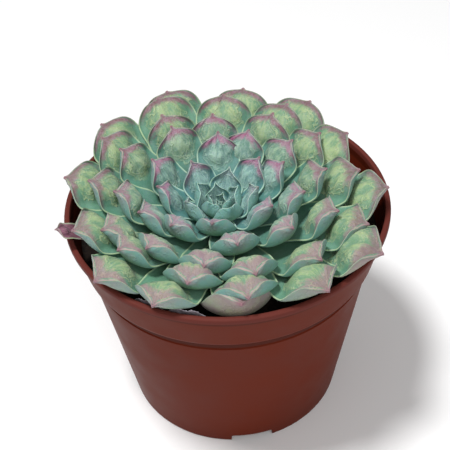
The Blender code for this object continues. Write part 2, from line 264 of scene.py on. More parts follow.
def leaf_marks(node):
    """The leaf's marks, the grain of its skin, its streaks and window, and where the blush grows."""
    marks = SimpleNamespace()
    for name in LEAF_MARKS:
        setattr(marks, name, node("Attribute", attribute_name=name, output="Fac"))
    place = node("TexCoord", output="Object")
    marks.cloud = node("TexNoise", place, 1 / (5.0 * MM), 3.0, 0.55)
    marks.mottle = node("TexNoise", place, 1 / (1.5 * MM), 6.0, 0.65)
    marks.powder = node("TexNoise", place, 1 / (0.5 * MM), 3.0, 0.7)
    marks.wobble = node("Math", node("TexNoise", place, 1 / (2.6 * MM), 2.0, 0.55), -0.5, **SUM)

    # The streaks fan out from the tip.
    fan = node("Math", marks.across, node("Math", marks.left, 0.15, **SUM), operation="ARCTAN2")
    fan = node("Math", fan, 4.5, **TIMES)
    far = node("CombineXYZ", marks.left, marks.across)
    far = node("VectorMath", far, operation="LENGTH", output="Value")
    rays = node("CombineXYZ", fan, node("Math", far, 1.6, **TIMES), marks.tone)
    streaks = node("TexNoise", rays, 1.5, 6.0, 0.72, 2.0, 0.7)
    marks.streaks = node("Math", marks.fold, 0.12, streaks, **TIMES_PLUS)

    # The window is an oval on the swelling, with wavy ridges that follow its outline.
    along = node("Math", node("Math", marks.left, -0.84, **SUM), 1 / 0.74, **TIMES)
    beside = node("Math", marks.across, 1 / 0.7, **TIMES)
    oval = node("VectorMath", node("CombineXYZ", along, beside), operation="LENGTH", output="Value")
    oval = node("Math", marks.wobble, 0.55, oval, **TIMES_PLUS)
    oval = node("Math", marks.fold, 0.1, oval, **TIMES_PLUS)
    marks.inside = node("MapRange", oval, 1.1, 0.6, **SOFT)
    waves = node("Math", oval, 22.0, node("Math", marks.wobble, 9.0, **TIMES), **TIMES_PLUS)
    waves = node("MapRange", node("Math", waves, operation="SINE"), 0.1, 1.0, **SOFT)
    waves = node("Math", waves, node("MapRange", oval, 0.25, 0.5, **SOFT), **TIMES)
    waves = node("Math", waves, node("MapRange", oval, 1.08, 0.9, **SOFT), **TIMES)
    marks.waves = node("Math", waves, node("MapRange", marks.cloud, 0.3, 0.6, **SOFT), **TIMES)

    # No blush grows in the heart of the rosette, nor on the very margin.
    marks.blushing = node("MapRange", marks.ring, 0.12, 0.3, **SOFT)
    inland = node("MapRange", marks.rim_mm, 0.2, 0.6, **SOFT)
    marks.blushed = node("Math", marks.blushing, inland, **TIMES)
    return marks


def blush_colour(node, marks):
    """Pink on the middle leaves, mauve-brown on the outer ones and paler at the front."""
    outer = node("MapRange", marks.ring, 0.35, 0.75, **SOFT)
    pink = node("Mix", outer, linear("96346C"), linear("70323E"), **COLOUR)
    speckled = node("MapRange", marks.mottle, 0.35, 0.65, 0.0, 0.5, **SOFT)
    pink = node("Mix", speckled, pink, linear("A07C90"), **COLOUR)
    front = node("MapRange", marks.sunny, 0.5, 0.1, 0.0, 0.55, **SOFT)
    return node("Mix", front, pink, linear("AC6E86"), **COLOUR)


def upper_colour(node, marks, pink):
    """The upper face: a trough, a window on the swelling and a blush that is strongest by the margin
    near the tip and breaks up into streaks."""
    # The trough is bluer in the heart of the rosette and a greyer green outside.
    middle = node("MapRange", marks.ring, 0.2, 0.6, **SOFT)
    trough = node("Mix", middle, linear("3F7C80"), linear("4E8672"), **COLOUR)
    outer = node("MapRange", marks.ring, 0.55, 0.9, **SOFT)
    trough = node("Mix", outer, trough, linear("5B9072"), **COLOUR)
    # On the outer leaves, painted shade darkens the trough towards the base.
    trough_shade = node("MapRange", marks.left, 1.3, 2.8, 0.0, 0.75, **SOFT)
    trough_shade = node("Math", trough_shade, node("MapRange", marks.ring, 0.35, 0.7, **SOFT), **TIMES)
    trough = node("Mix", trough_shade, trough, linear("34683F"), **COLOUR)
    speckled = node("MapRange", marks.mottle, 0.35, 0.75, 0.0, 0.45, **SOFT)
    trough = node("Mix", speckled, trough, linear("3F7560"), **COLOUR)

    # The window is mint on the inner leaves and yellow-green on the outer ones.
    streaked = node("MapRange", marks.streaks, 0.36, 0.64, **SOFT)
    mint = node("Mix", streaked, linear("457C7A"), linear("94C2B4"), **COLOUR)
    streaked = node("MapRange", marks.streaks, 0.34, 0.68, **SOFT)
    window = node("Mix", streaked, linear("5E8C60"), linear("A2B678"), **COLOUR)
    outer = node("MapRange", marks.ring, 0.25, 0.7, **SOFT)
    window = node("Mix", outer, mint, window, **COLOUR)
    upper = node("Mix", node("Math", marks.inside, 0.85, **TIMES), trough, window, **COLOUR)
    outer = node("MapRange", marks.ring, 0.3, 0.7, **SOFT)
    ridge = node("Mix", outer, linear("9CC4B8"), linear("B8C88C"), **COLOUR)
    upper = node("Mix", node("Math", marks.waves, 0.6, **TIMES), upper, ridge, **COLOUR)

    reach = node("MapRange", marks.rim_mm, 4.6, 0.4, **SOFT)
    near_tip = node("MapRange", marks.left, 1.25, 0.4, **SOFT)
    at_tip = node("MapRange", marks.left, 0.7, 0.1, 0.0, 0.5, **SOFT)
    reach = node("Math", reach, near_tip, at_tip, **TIMES_PLUS)
    streaked = node("Math", marks.streaks, -0.5, **SUM)
    reach = node("Math", streaked, 1.9, reach, **TIMES_PLUS)
    speckled = node("Math", marks.mottle, -0.5, **SUM)
    reach = node("Math", speckled, 0.8, reach, **TIMES_PLUS)
    blush = node("MapRange", reach, 0.3, 1.25, **SOFT)
    blush = node("Math", blush, node("MapRange", marks.sunny, 0.0, 1.0, 0.65, 0.92, **SOFT), **TIMES)
    return node("Mix", node("Math", blush, marks.blushed, **TIMES), upper, pink, **COLOUR)


def back_colour(node, marks, pink):
    """The back: blue-green by the margin, greener on the keel, lilac and olive on the outermost leaves,
    with a veil of the blush by the tip."""
    keel = node("MapRange", marks.rim_mm, 1.2, 5.0, **SOFT)
    back = node("Mix", keel, linear("6A9E98"), linear("54865F"), **COLOUR)
    speckled = node("MapRange", marks.mottle, 0.35, 0.7, 0.0, 0.35, **SOFT)
    back = node("Mix", speckled, back, linear("6F9A70"), **COLOUR)
    clouded = node("MapRange", marks.cloud, 0.35, 0.65, **SOFT)
    aged = node("Mix", clouded, linear("8E6468"), linear("8A7E58"), **COLOUR)
    outermost = node("MapRange", marks.ring, 0.78, 0.98, 0.0, 0.75, **SOFT)
    back = node("Mix", outermost, back, aged, **COLOUR)
    patchy = node("MapRange", marks.cloud, 0.3, 0.6, **SOFT)
    veil = node("MapRange", marks.left, 0.6, 0.1, 0.0, 0.4, **SOFT)
    veil = node("Math", node("Math", veil, patchy, **TIMES), marks.blushed, **TIMES)
    return node("Mix", veil, back, pink, **COLOUR)


def waxy_leaf(node):
    """Living succulent leaf: a waxy skin under a powdery bloom, which scatters light softly. Its
    colours follow the leaf: a blue-green trough, a yellow-green window on the swelling, a blush by
    the tip, a pale margin and a greener back."""
    marks = leaf_marks(node)
    pink = blush_colour(node, marks)
    upper = upper_colour(node, marks, pink)
    colour = node("Mix", marks.upper_face, back_colour(node, marks, pink), upper, **COLOUR)

    # The margin is a pale horny line, a little pinker by the tip, that fades towards the base.
    outer = node("MapRange", marks.ring, 0.25, 0.6, **SOFT)
    horny = node("Mix", outer, linear("BADECC"), linear("B2CA9E"), **COLOUR)
    tipward = node("MapRange", marks.left, 0.9, 0.2, 0.0, 0.8, **SOFT)
    tipward = node("Math", tipward, marks.blushing, **TIMES)
    horny = node("Mix", tipward, horny, linear("A8808A"), **COLOUR)
    breadth = node("MapRange", marks.left, 0.3, 1.1, 0.26, 0.6, **SOFT)
    margin = node("MapRange", marks.rim_mm, breadth, 0.15, 0.0, 0.9, **SOFT)
    fading = node("MapRange", marks.left, 2.6, 1.4, 0.5, 1.0, **SOFT)
    colour = node("Mix", node("Math", margin, fading, **TIMES), colour, horny, **COLOUR)
    point = node("MapRange", marks.left, 0.14, 0.02, 0.0, 0.75, **SOFT)
    point = node("Math", point, marks.blushing, **TIMES)
    colour = node("Mix", point, colour, linear("8A4A5E"), **COLOUR)

    # The bloom is a whitish powder, rubbed off in patches; on the swellings' crests it is thickened
    # into a painted highlight.
    patchy = node("MapRange", marks.cloud, 0.3, 0.7, 0.04, 0.12, **SOFT)
    powdery = node("MapRange", marks.powder, 0.3, 0.7, 0.5, 1.4, **SOFT)
    crest_powder_and_highlight = node("MapRange", marks.ring, 0.3, 0.9, 0.14, 0.05, **SOFT)
    crest_powder_and_highlight = node("Math", node("Math", marks.inside, marks.upper_face, **TIMES), crest_powder_and_highlight, **TIMES)
    crest_powder_and_highlight = node("Math", crest_powder_and_highlight, node("MapRange", marks.powder, 0.3, 0.7, 0.5, 1.5, **SOFT), **TIMES)
    bloom = node("Math", patchy, powdery, crest_powder_and_highlight, **TIMES_PLUS)
    colour = node("Mix", bloom, colour, linear("C2CFD2"), **COLOUR)

    # The leaf that has shrivelled is a dark red-purple.
    clouded = node("MapRange", marks.cloud, 0.35, 0.65, **SOFT)
    withering = node("Mix", clouded, linear("5A2A3C"), linear("8E5A70"), **COLOUR)
    dried = node("MapRange", marks.rim_mm, 0.1, 0.6, 0.4, 0.95, **SOFT)
    dried = node("Math", marks.dried, dried, **TIMES)
    colour = node("Mix", dried, colour, withering, **COLOUR)

    rough = node("MapRange", marks.powder, 0.2, 0.8, 0.46, 0.6, **SOFT)
    relief = node("Math", marks.mottle, 0.3, node("Math", marks.powder, 0.1, **TIMES), **TIMES_PLUS)
    relief = node("Math", marks.waves, 0.45, relief, **TIMES_PLUS)
    streaked = node("Math", marks.streaks, marks.inside, **TIMES)
    relief = node("Math", streaked, 0.9, relief, **TIMES_PLUS)
    return {
        "Base Color": colour,
        "Roughness": node("Math", bloom, 0.3, rough, **TIMES_PLUS),
        "IOR": 1.42,
        "Subsurface Weight": 0.12,
        "Subsurface Radius": (0.6, 1.0, 0.35),
        "Subsurface Scale": 1.6 * MM,
        "Sheen Weight": 0.1,
        "Sheen Roughness": 0.5,
        "Normal": node("Bump", 0.8, 0.5 * MM, BUMP_FILTER, relief),
    }


def moulded_polypropylene(node):
    """Moulded polypropylene, dyed terracotta: satin, with the faint cloudiness of recycled plastic.
    It has a painted shadow in the neck under the collar and painted shade in the crease under the lip,
    and the lip is greyed by a painted reflection."""
    place = node("TexCoord", output="Object")
    height = node("SeparateXYZ", place, output="Z")
    cloud = node("TexNoise", place, 1 / (14.0 * MM), 4.0)
    fine = node("TexNoise", place, 1 / (0.7 * MM), 3.0)
    colour = node("Mix", cloud, linear("5C2112"), linear("662614"), **COLOUR)
    shade = linear("2E100B")

    # Painted shadow: the collar's overhang darkens the neck below it.
    rise = node("MapRange", height, (NECK_FOOT - 0.4) * MM, (NECK_FOOT + 0.6) * MM, 0.0, 0.6)
    end = node("MapRange", height, (STEP_HEIGHT + 0.1) * MM, (STEP_HEIGHT - 0.2) * MM)
    colour = node("Mix", node("Math", rise, end, **TIMES), colour, shade, **COLOUR)

    # Painted reflection: the lip is greyed where it would catch the sky.
    lip = node("MapRange", height, (COLLAR_TOP + 0.1) * MM, (COLLAR_TOP + 0.7) * MM, 0.0, 0.5)
    colour = node("Mix", lip, colour, linear("663A38"), **COLOUR)
    # Painted shade in the crease under the lip.
    rise = node("MapRange", height, (COLLAR_TOP - 2.4) * MM, (COLLAR_TOP - 1.6) * MM, 0.0, 0.5)
    end = node("MapRange", height, (COLLAR_TOP + 0.3) * MM, (COLLAR_TOP + 0.1) * MM)
    colour = node("Mix", node("Math", rise, end, **TIMES), colour, shade, **COLOUR)
    return {
        "Base Color": colour,
        "Roughness": node("MapRange", cloud, 0.3, 0.7, 0.4, 0.52),
        "IOR": 1.49,
        "Specular IOR Level": 0.05,
        "Normal": node("Bump", 0.25, 0.05 * MM, BUMP_FILTER, fine),
    }


def milled_peat(node):
    """Damp milled peat: almost black crumbs, rough, with browner fibres."""
    crumb = node("TexNoise", node("TexCoord", output="Object"), 1 / (2.2 * MM), 6.0, 0.7)
    fibrous = node("MapRange", crumb, 0.35, 0.7)
    return {
        "Base Color": node("Mix", fibrous, linear("0B0908"), linear("2A1F18"), **COLOUR),
        "Roughness": 0.9,
        "Specular IOR Level": 0.2,
        "Normal": node("Bump", 0.9, 0.8 * MM, BUMP_FILTER, crumb),
    }


def papery_dead_leaf(node):
    """Dead leaf skin: dry and papery, grey-lilac with brown veins and bleached folds."""
    stain = node("TexNoise", node("TexCoord", output="Object"), 1 / (3.0 * MM), 6.0, 0.65)
    bleached = node("MapRange", stain, 0.35, 0.65)
    return {
        "Base Color": node("Mix", bleached, linear("94868E"), linear("E2DDE8"), **COLOUR),
        "Roughness": 0.8,
        "Normal": node("Bump", 0.8, 0.5 * MM, BUMP_FILTER, stain),
    }


def white_paper(node):
    """Matt white paper sweep."""
    return {"Base Color": linear("FBFBFB"), "Roughness": 0.9}


# Pieces


def finished(bm, name, made_of, crease=None):
    """A smooth-shaded piece from a bmesh drawn in millimetres, with edges left sharp from an angle."""
    bmesh.ops.recalc_face_normals(bm, faces=bm.faces)
    bmesh.ops.scale(bm, vec=(MM, MM, MM), verts=bm.verts)
    mesh = bpy.data.meshes.new(name)
    bm.to_mesh(mesh)
    bm.free()
    mesh.materials.append(made_of)
    mesh.shade_smooth()
    if crease is not None:
        mesh.set_sharp_from_angle(angle=crease)
    obj = bpy.data.objects.new(name, mesh)
    bpy.context.scene.collection.objects.link(obj)
    return obj


def on_root(piece, node):
    """The piece moves with the one body and stands for a CAD node."""
    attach(piece, "root")
    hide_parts(node)


def spun(profile, segments, closed):
    """The surface of revolution of a profile of (radius, height) points."""
    bm = bmesh.new()
    points = [bm.verts.new((radius, 0.0, height)) for radius, height in profile]
    edges = [bm.edges.new(pair) for pair in zip(points, points[1:])]
    if closed:
        edges.append(bm.edges.new((points[-1], points[0])))
    bmesh.ops.spin(
        bm,
        geom=points + edges,
        axis=(0, 0, 1),
        cent=(0, 0, 0),
        angle=2 * math.pi,
        steps=segments,
        use_merge=True,
        use_duplicate=False,
    )
    bmesh.ops.remove_doubles(bm, verts=bm.verts, dist=0.001)
    return bm


def body_radius(height):
    """The pot's outer wall below the step."""
    return FOOT_RADIUS + height / STEP_HEIGHT * (BODY_TOP_RADIUS - FOOT_RADIUS)


def collar_radius(height):
    """The pot's outer wall above the step."""
    share = (height - STEP_HEIGHT) / (COLLAR_TOP - STEP_HEIGHT)
    return COLLAR_FOOT_RADIUS + share * (COLLAR_TOP_RADIUS - COLLAR_FOOT_RADIUS)


def inner_radius(height):
    """The pot's inner wall, below and above the step."""
    if height < STEP_HEIGHT:
        return body_radius(height) - WALL
    return collar_radius(height) - WALL


def pot_profile():
    """Once round the cut through the pot's wall and base plate, with the small roundings of each
    edge: under the plate and the foot, up the outside, over the lip and down the inside."""
    foot_inside = FOOT_RADIUS - FOOT_WIDTH
    neck_radius = BODY_TOP_RADIUS - NECK_DEPTH
    lip_inside = COLLAR_TOP_RADIUS - WALL
    plate_edge = inner_radius(PLATE_TOP)
    return [
        (MIDDLE_DRAIN_RADIUS, PLATE_BOTTOM),
        (foot_inside - 0.4, PLATE_BOTTOM),
        (foot_inside - 0.1, PLATE_BOTTOM - 0.3),
        (foot_inside, 0.2),
        (foot_inside + 0.2, 0.0),
        (FOOT_RADIUS - 0.5, 0.0),
        (FOOT_RADIUS - 0.1, 0.2),
        (body_radius(0.6), 0.6),
        (body_radius(1.4), 1.4),
        (body_radius(NOTCH_HEIGHT + 1.0), NOTCH_HEIGHT + 1.0),
        (body_radius(NOTCH_HEIGHT + 2.0), NOTCH_HEIGHT + 2.0),
        (body_radius(NECK_FOOT - 1.6), NECK_FOOT - 1.6),
        (body_radius(NECK_FOOT - 0.5), NECK_FOOT - 0.5),
        (body_radius(NECK_FOOT) - NECK_DEPTH, NECK_FOOT),
        (neck_radius, STEP_HEIGHT - 1.0),
        (neck_radius, STEP_HEIGHT - 0.3),
        (neck_radius + 0.2, STEP_HEIGHT - 0.05),
        (COLLAR_FOOT_RADIUS - 0.25, STEP_HEIGHT),
        (COLLAR_FOOT_RADIUS, STEP_HEIGHT + 0.25),
        (collar_radius(STEP_HEIGHT + 1.2), STEP_HEIGHT + 1.2),
        (collar_radius(COLLAR_TOP - 1.2), COLLAR_TOP - 1.2),
        (COLLAR_TOP_RADIUS, COLLAR_TOP - 0.2),
        (COLLAR_TOP_RADIUS + 0.25, COLLAR_TOP),
        (LIP_RADIUS - 0.35, COLLAR_TOP + 0.05),
        (LIP_RADIUS - 0.08, COLLAR_TOP + 0.3),
        (LIP_RADIUS, COLLAR_TOP + 0.7),
        (LIP_RADIUS, POT_HEIGHT - 1.0),
        (LIP_RADIUS - 0.15, POT_HEIGHT - 0.45),
        (LIP_RADIUS - 0.55, POT_HEIGHT - 0.1),
        (LIP_RADIUS - 1.1, POT_HEIGHT),
        (lip_inside + 0.7, POT_HEIGHT),
        (lip_inside + 0.25, POT_HEIGHT - 0.2),
        (lip_inside, POT_HEIGHT - 0.7),
        (inner_radius(COLLAR_TOP), COLLAR_TOP),
        (inner_radius(STEP_HEIGHT + 1.0), STEP_HEIGHT + 1.0),
        (inner_radius(STEP_HEIGHT - 0.01), STEP_HEIGHT - 0.6),
        (inner_radius(PLATE_TOP + 1.5), PLATE_TOP + 1.5),
        (plate_edge - 0.5, PLATE_TOP + 0.3),
        (plate_edge - 1.3, PLATE_TOP),
        (MIDDLE_DRAIN_RADIUS, PLATE_TOP),
    ]


def make_pot(plastic):
    """The moulded pot. Its outer drain holes and the round-cornered notches of its foot are cut out."""
    pot = finished(spun(pot_profile(), POT_SEGMENTS, closed=True), "moulded_pot", plastic, POT_CREASE)

    cutters = bmesh.new()
    for index in range(DRAIN_COUNT):
        turn = Matrix.Rotation(index * 2 * math.pi / DRAIN_COUNT, 4, "Z")
        bmesh.ops.create_cone(
            cutters,
            segments=32,
            radius1=DRAIN_RADIUS,
            radius2=DRAIN_RADIUS,
            depth=DRAIN_CUT,
            cap_ends=True,
            matrix=turn @ Matrix.Translation((DRAIN_CIRCLE, 0, PLATE_BOTTOM)),
        )
    for index in range(NOTCH_COUNT):
        turn = Matrix.Rotation(NOTCH_TURN + index * 2 * math.pi / NOTCH_COUNT, 4, "Z")
        size = Matrix.Diagonal((NOTCH_DEPTH, NOTCH_WIDTH, 2 * NOTCH_HEIGHT, 1.0))
        place = turn @ Matrix.Translation((FOOT_RADIUS - 1.0, 0, 0))
        made = bmesh.ops.create_cube(cutters, size=1.0, matrix=place @ size)
        top_edges = {
            edge
            for vert in made["verts"]
            for edge in vert.link_edges
            if edge.verts[0].co.z > 1 and edge.verts[1].co.z > 1
        }
        bmesh.ops.bevel(
            cutters,
            geom=list(top_edges),
            offset=NOTCH_ROUNDING,
            segments=3,
            profile=0.5,
            affect="EDGES",
            material=-1,
        )
    cutting = finished(cutters, "pot_cutters", plastic)
    cut = pot.modifiers.new("openings", "BOOLEAN")
    cut.operation = "DIFFERENCE"
    cut.object = cutting
    graph = bpy.context.evaluated_depsgraph_get()
    opened = bpy.data.meshes.new_from_object(pot.evaluated_get(graph))
    pot.modifiers.clear()
    pot.data = opened
    opened.set_sharp_from_angle(angle=POT_CREASE)
    bpy.data.objects.remove(cutting)
    on_root(pot, "pot")


def crown_axes():
    """The crown's own axis, and two directions square to it."""
    up = Vector((0.0, -math.sin(CROWN_LEAN), math.cos(CROWN_LEAN)))
    across = Vector((1.0, 0.0, 0.0))
    return up, across, up.cross(across)


def stem_centre(height):
    """Where the stem's centre line is at a height: straight from its foot up to the crown."""
    below = CROWN - crown_axes()[0] * BASE_DROP_LAST
    share = (height - STEM_FOOT) / (below.z - STEM_FOOT)
    return Vector((below.x * share, below.y * share, height))


def mix_top(x, y):
    """The height of the potting mix, which is crumbly but flat by the wall."""
    point = Vector((x / 8.0, y / 8.0, 3.1))
    bump = noise.noise(point) + 0.45 * noise.noise(point * 2.6)
    return MIX_TOP + MIX_BUMP * bump * smooth(54.0, 46.0, math.hypot(x, y))


def make_mix(peat):
    """The filling of the pot, with crumbs on top and a hole that follows the leaning stem."""
    hole = STEM_RADIUS + GAP
    edge = inner_radius(MIX_TOP) - GAP
    hole_middle = 70.0
    hole_foot = STEM_FOOT - 0.3
    profile = [
        (0.0, PLATE_TOP + GAP),
        (inner_radius(PLATE_TOP) - 1.3 - GAP, PLATE_TOP + GAP),
        (inner_radius(PLATE_TOP + 1.6) - GAP, PLATE_TOP + 1.6),
        (inner_radius(STEP_HEIGHT - 0.4) - GAP, STEP_HEIGHT - 0.4),
        (inner_radius(STEP_HEIGHT + 1.2) - GAP, STEP_HEIGHT + 1.2),
        (edge, MIX_TOP),
    ]
    profile += [(edge + (hole - edge) * k / MIX_RINGS, MIX_TOP) for k in range(1, MIX_RINGS)]
    profile += [(hole, MIX_TOP), (hole, hole_middle), (hole, hole_foot), (0.0, hole_foot)]
    bm = spun(profile, MIX_SEGMENTS, closed=False)
    for vert in bm.verts:
        radius = math.hypot(vert.co.x, vert.co.y)
        above = vert.co.z > STEM_FOOT - 1.0 and radius < edge - 0.1
        if above and (vert.co.z > MIX_TOP - 0.1 or radius < hole + 0.1):
            shift = stem_centre(vert.co.z) * (1.0 - max(radius - hole, 0.0) / (edge - hole))
            vert.co.x += shift.x
            vert.co.y += shift.y
            if vert.co.z > MIX_TOP - 0.1:
                point = Vector((vert.co.x, vert.co.y, 0.0))
                crumbs = abs(noise.noise(point / 2.1)) + 0.6 * abs(noise.noise(point / 0.9))
                crumbs *= smooth(edge, edge - 3.0, radius) * smooth(hole, hole + 3.0, radius)
                vert.co.z = mix_top(vert.co.x, vert.co.y) + CRUMB_HEIGHT * crumbs - CRUMB_SUNK
    on_root(finished(bm, "peat_fill", peat), "potting_mix")


def leaf_places():
    """For each leaf of the spiral: its number, base point, tip point and spread from the crown. The
    leaves of the bud have numbers below 0."""
    up, across, ahead = crown_axes()
    places = []
    for number in range(-BUD_COUNT, LEAF_COUNT):
        spread = REACH * (max(number + 0.5, 0.1) / LEAF_COUNT) ** REACH_POWER
        spread -= HEART_CLOSED * smooth(0.0, 5.0, number) * smooth(16.0, 7.0, number)
        turn = FIRST_TURN + DIVERGENCE * number
        further, sideways = STRAYS.get(number, (0.0, 0.0))
        turn += sideways / spread
        spread += further
        out = across * math.cos(turn) + ahead * math.sin(turn)
        rise = DOME_RISE * spread / 60 - DOME_FALL * (spread / 60) ** 2
        tip = CROWN + out * spread + up * rise
        past_rim = math.hypot(tip.x, tip.y) - RIM_REACH
        overhang = max(past_rim, abs(tip.x) - SIDE_REACH, -tip.y - FRONT_REACH, 0.0)
        tip -= out * overhang
        tip.z += RIM_LIFT * overhang
        if math.hypot(tip.x, tip.y) > RIM_NEAR:
            tip.z = max(tip.z, RIM_CLEAR)
        if number < 0:
            tip = CROWN + out * 0.4 * (BUD_COUNT + number) - up * (1.6 - 0.2 * number)
        drop = BASE_DROP_FIRST + (BASE_DROP_LAST - BASE_DROP_FIRST) * number / LEAF_COUNT
        base = CROWN + out * (0.6 + 2.4 * number / LEAF_COUNT) - up * drop
        places.append((number, base, tip, spread))
    return places


def leaf_half(spread, number):
    """Half the width of a leaf, less for the youngest."""
    half = HALF_WIDTH_FIRST + HALF_WIDTH_GROWTH * spread
    half *= min(max(0.76 + 0.04 * number, 0.4), 1.0)
    return half * SHRIVELLED_WIDTH if number == SHRIVELLED else half


def leaf_bend(spread, number):
    """How far the midline turns upward: the crowded middle most, the leaves over the rim least, but
    for one that the rim holds up."""
    if number == HELD_UP:
        return HELD_UP_BEND
    return math.radians(BEND_FIRST - BEND_LOSS * spread - BEND_LOSS_AT_RIM * smooth(46.0, 60.0, spread))


def leaf_shape(number, base, tip, spread):
    """What sets one leaf's shape. Each leaf is a little broader, more bent, plumper, longer in its
    point and more askew than the rule, or less, by chance."""
    chance = random.Random(number)
    leaf = SimpleNamespace(base=base)
    leaf.half = leaf_half(spread, number) * chance.uniform(0.97, 1.03)
    leaf.bend = leaf_bend(spread, number) * chance.uniform(0.94, 1.06)
    leaf.swell = CUSHION_RISE * chance.uniform(0.88, 1.08) * smooth(2.0, 18.0, number)
    leaf.unit = leaf.half * (1.0 + YOUNG_STRETCH * smooth(0.6 * REACH, 0.2 * REACH, spread))
    leaf.point = min(POINT * chance.uniform(0.85, 1.15) / leaf.unit, 0.4)
    leaf.sway = chance.uniform(-0.1, 0.1)
    leaf.blunt = 2.1 - 0.85 * smooth(13.0, 4.0, number)
    leaf.plump = {HELD_UP: HELD_UP_PLUMP, SHRIVELLED: SHRIVELLED_PLUMP}.get(number, 1.0)
    leaf.edge = EDGE * min(leaf.half / 6.5, 1.0)
    leaf.up = crown_axes()[0]
    chord = tip - base
    leaf.out = (chord - leaf.up * chord.dot(leaf.up)).normalized()
    leaf.side = leaf.up.cross(leaf.out)
    leaf.swell *= 1.0 - CUSHION_FLATTER * (0.5 + 0.5 * leaf.out.y)
    leaf.start = math.atan2(chord.dot(leaf.up), chord.dot(leaf.out)) - leaf.bend / 2
    leaf.radius = chord.length / (2 * math.sin(leaf.bend / 2))
    leaf.whole = leaf.radius * leaf.bend / leaf.unit
    return leaf


def half_width(leaf, left):
    """The blade's outline as a share of its half width. The place along the leaf is given as what is
    left of it to the tip, in half widths: a taper from the base, then an arch, and at its top a small
    horny point."""
    if left > WIDEST:
        return 0.27 + 0.73 * (1.0 - ((left - WIDEST) / (leaf.whole - WIDEST)) ** 1.7)
    arch = 1.0 - ((WIDEST - left) / (WIDEST - 0.5 * leaf.point)) ** leaf.blunt
    arch = max(arch, 0.0) ** 0.72
    horn = 0.02 + 0.2 * min(left / leaf.point, 1.0) ** 1.3
    return (arch**3 + horn**3) ** (1 / 3) if left < leaf.point else max(arch, horn)


def fold_at(left, across, number):
    """How far the skin is folded up, from about -1 to 1: the folds fan out from the tip."""
    fan = math.atan2(across, left + 0.15)
    far = math.hypot(left, across)
    broad = noise.noise(Vector((fan * 3.4, far * 1.5, number * 1.7)))
    return 1.5 * broad + 0.9 * noise.noise(Vector((fan * 8.0, far * 3.4, number * 2.3)))


def leaf_height(leaf, left, v, upper, share, fold):
    """The height of the upper or lower face above the midline, v being -1 and 1 at the edges. The
    edges stand up from the midline almost to the tip, where they dip to the point. The upper face
    swells behind the point into a fleshy cushion with a folded skin."""
    across = abs(v)
    cup = CUP_TIP * smooth(0.0, 0.3, left) - CUP_FALL * smooth(0.3, 0.9, left)
    cup = leaf.half * (cup + CUP_BASE * smooth(1.0, 1.7, left))
    arch = ARCH * leaf.half * smooth(0.0, 0.4, left) * smooth(leaf.whole, 0.5 * leaf.whole, left)
    edge = cup * across**1.9 + arch
    if upper:
        place = (left - CUSHION_PLACE) / (CUSHION_FRONT if left < CUSHION_PLACE else CUSHION_BACK)
        near = place**2 + (across * share / CUSHION_WIDTH) ** 2
        ease = 0.9 + 0.8 * smooth(-0.2, 0.6, place)
        inside = 1.0 - across**6
        cushion = leaf.swell * leaf.half * max(1.0 - near**1.4, 0.0) ** ease * inside
        cushion += FOLD * fold * smooth(1.3, 0.5, near) * inside
        margin = (1.0 - across) * share * leaf.half
        groove = BEAD * (1.0 - math.exp(-((margin / 0.5) ** 2))) * smooth(0.0, 0.3, left)
        return edge + cushion - groove
    belly = min(BELLY * leaf.half, BELLY_DEEPEST)
    belly *= 1.0 - 0.7 * smooth(1.4, 0.9 * leaf.whole, left)
    belly *= 1.0 + (leaf.plump - 1.0) * smooth(1.9, 1.1, left)
    belly *= 1.0 - 0.9 * smooth(0.75, 0.0, left) ** 1.3
    return edge - leaf.edge - belly * max(1.0 - across**2.2, 0.0) ** 0.8


def leaf_ring():
    """Once round a leaf as (upper face, v, rounding): over the upper face, down the rounded edge and
    back under the lower face, with points close together by the edges."""
    columns = range(-LEAF_COLUMNS, LEAF_COLUMNS + 1)
    spread_out = [math.sin(math.pi / 2 * k / LEAF_COLUMNS) for k in columns]
    ring = [(True, v, 0.0) for v in spread_out]
    ring += [(True, 1.0, 0.7), (False, 1.0, 0.35)]
    ring += [(False, v, 0.0) for v in reversed(spread_out[::2])]
    ring += [(False, -1.0, 0.35), (True, -1.0, 0.7)]
    return ring


def leaf_point(leaf, left, v, upper, rounding, share, fold):
    """Where a point of the skin is. The midline is an arc that turns upward from the base."""
    height = leaf_height(leaf, left, v, upper or rounding > 0.0, share, fold)
    if rounding:
        height -= leaf.edge * (1.0 - rounding)
    wide = v * (leaf.half * share + EDGE_BULGE * math.sin(math.pi * rounding))
    wide += leaf.sway * leaf.half * smooth(1.0, 0.0, left)
    angle = leaf.start + leaf.bend * (1.0 - left / leaf.whole)
    along = leaf.radius * (math.sin(angle) - math.sin(leaf.start)) - height * math.sin(angle)
    rise = leaf.radius * (math.cos(leaf.start) - math.cos(angle)) + height * math.cos(angle)
    return leaf.base + leaf.out * along + leaf.up * rise + leaf.side * wide


def leaf_outline(leaf):
    """The leaf's margin laid flat, to find how far a point is from it."""
    outline = kdtree.KDTree(2 * OUTLINE_POINTS)
    for k in range(OUTLINE_POINTS):
        left = leaf.whole * (k / OUTLINE_POINTS) ** 1.5
        wide = leaf.half * half_width(leaf, left)
        outline.insert((wide, leaf.unit * left, 0.0), 2 * k)
        outline.insert((-wide, leaf.unit * left, 0.0), 2 * k + 1)
    outline.balance()
    return outline


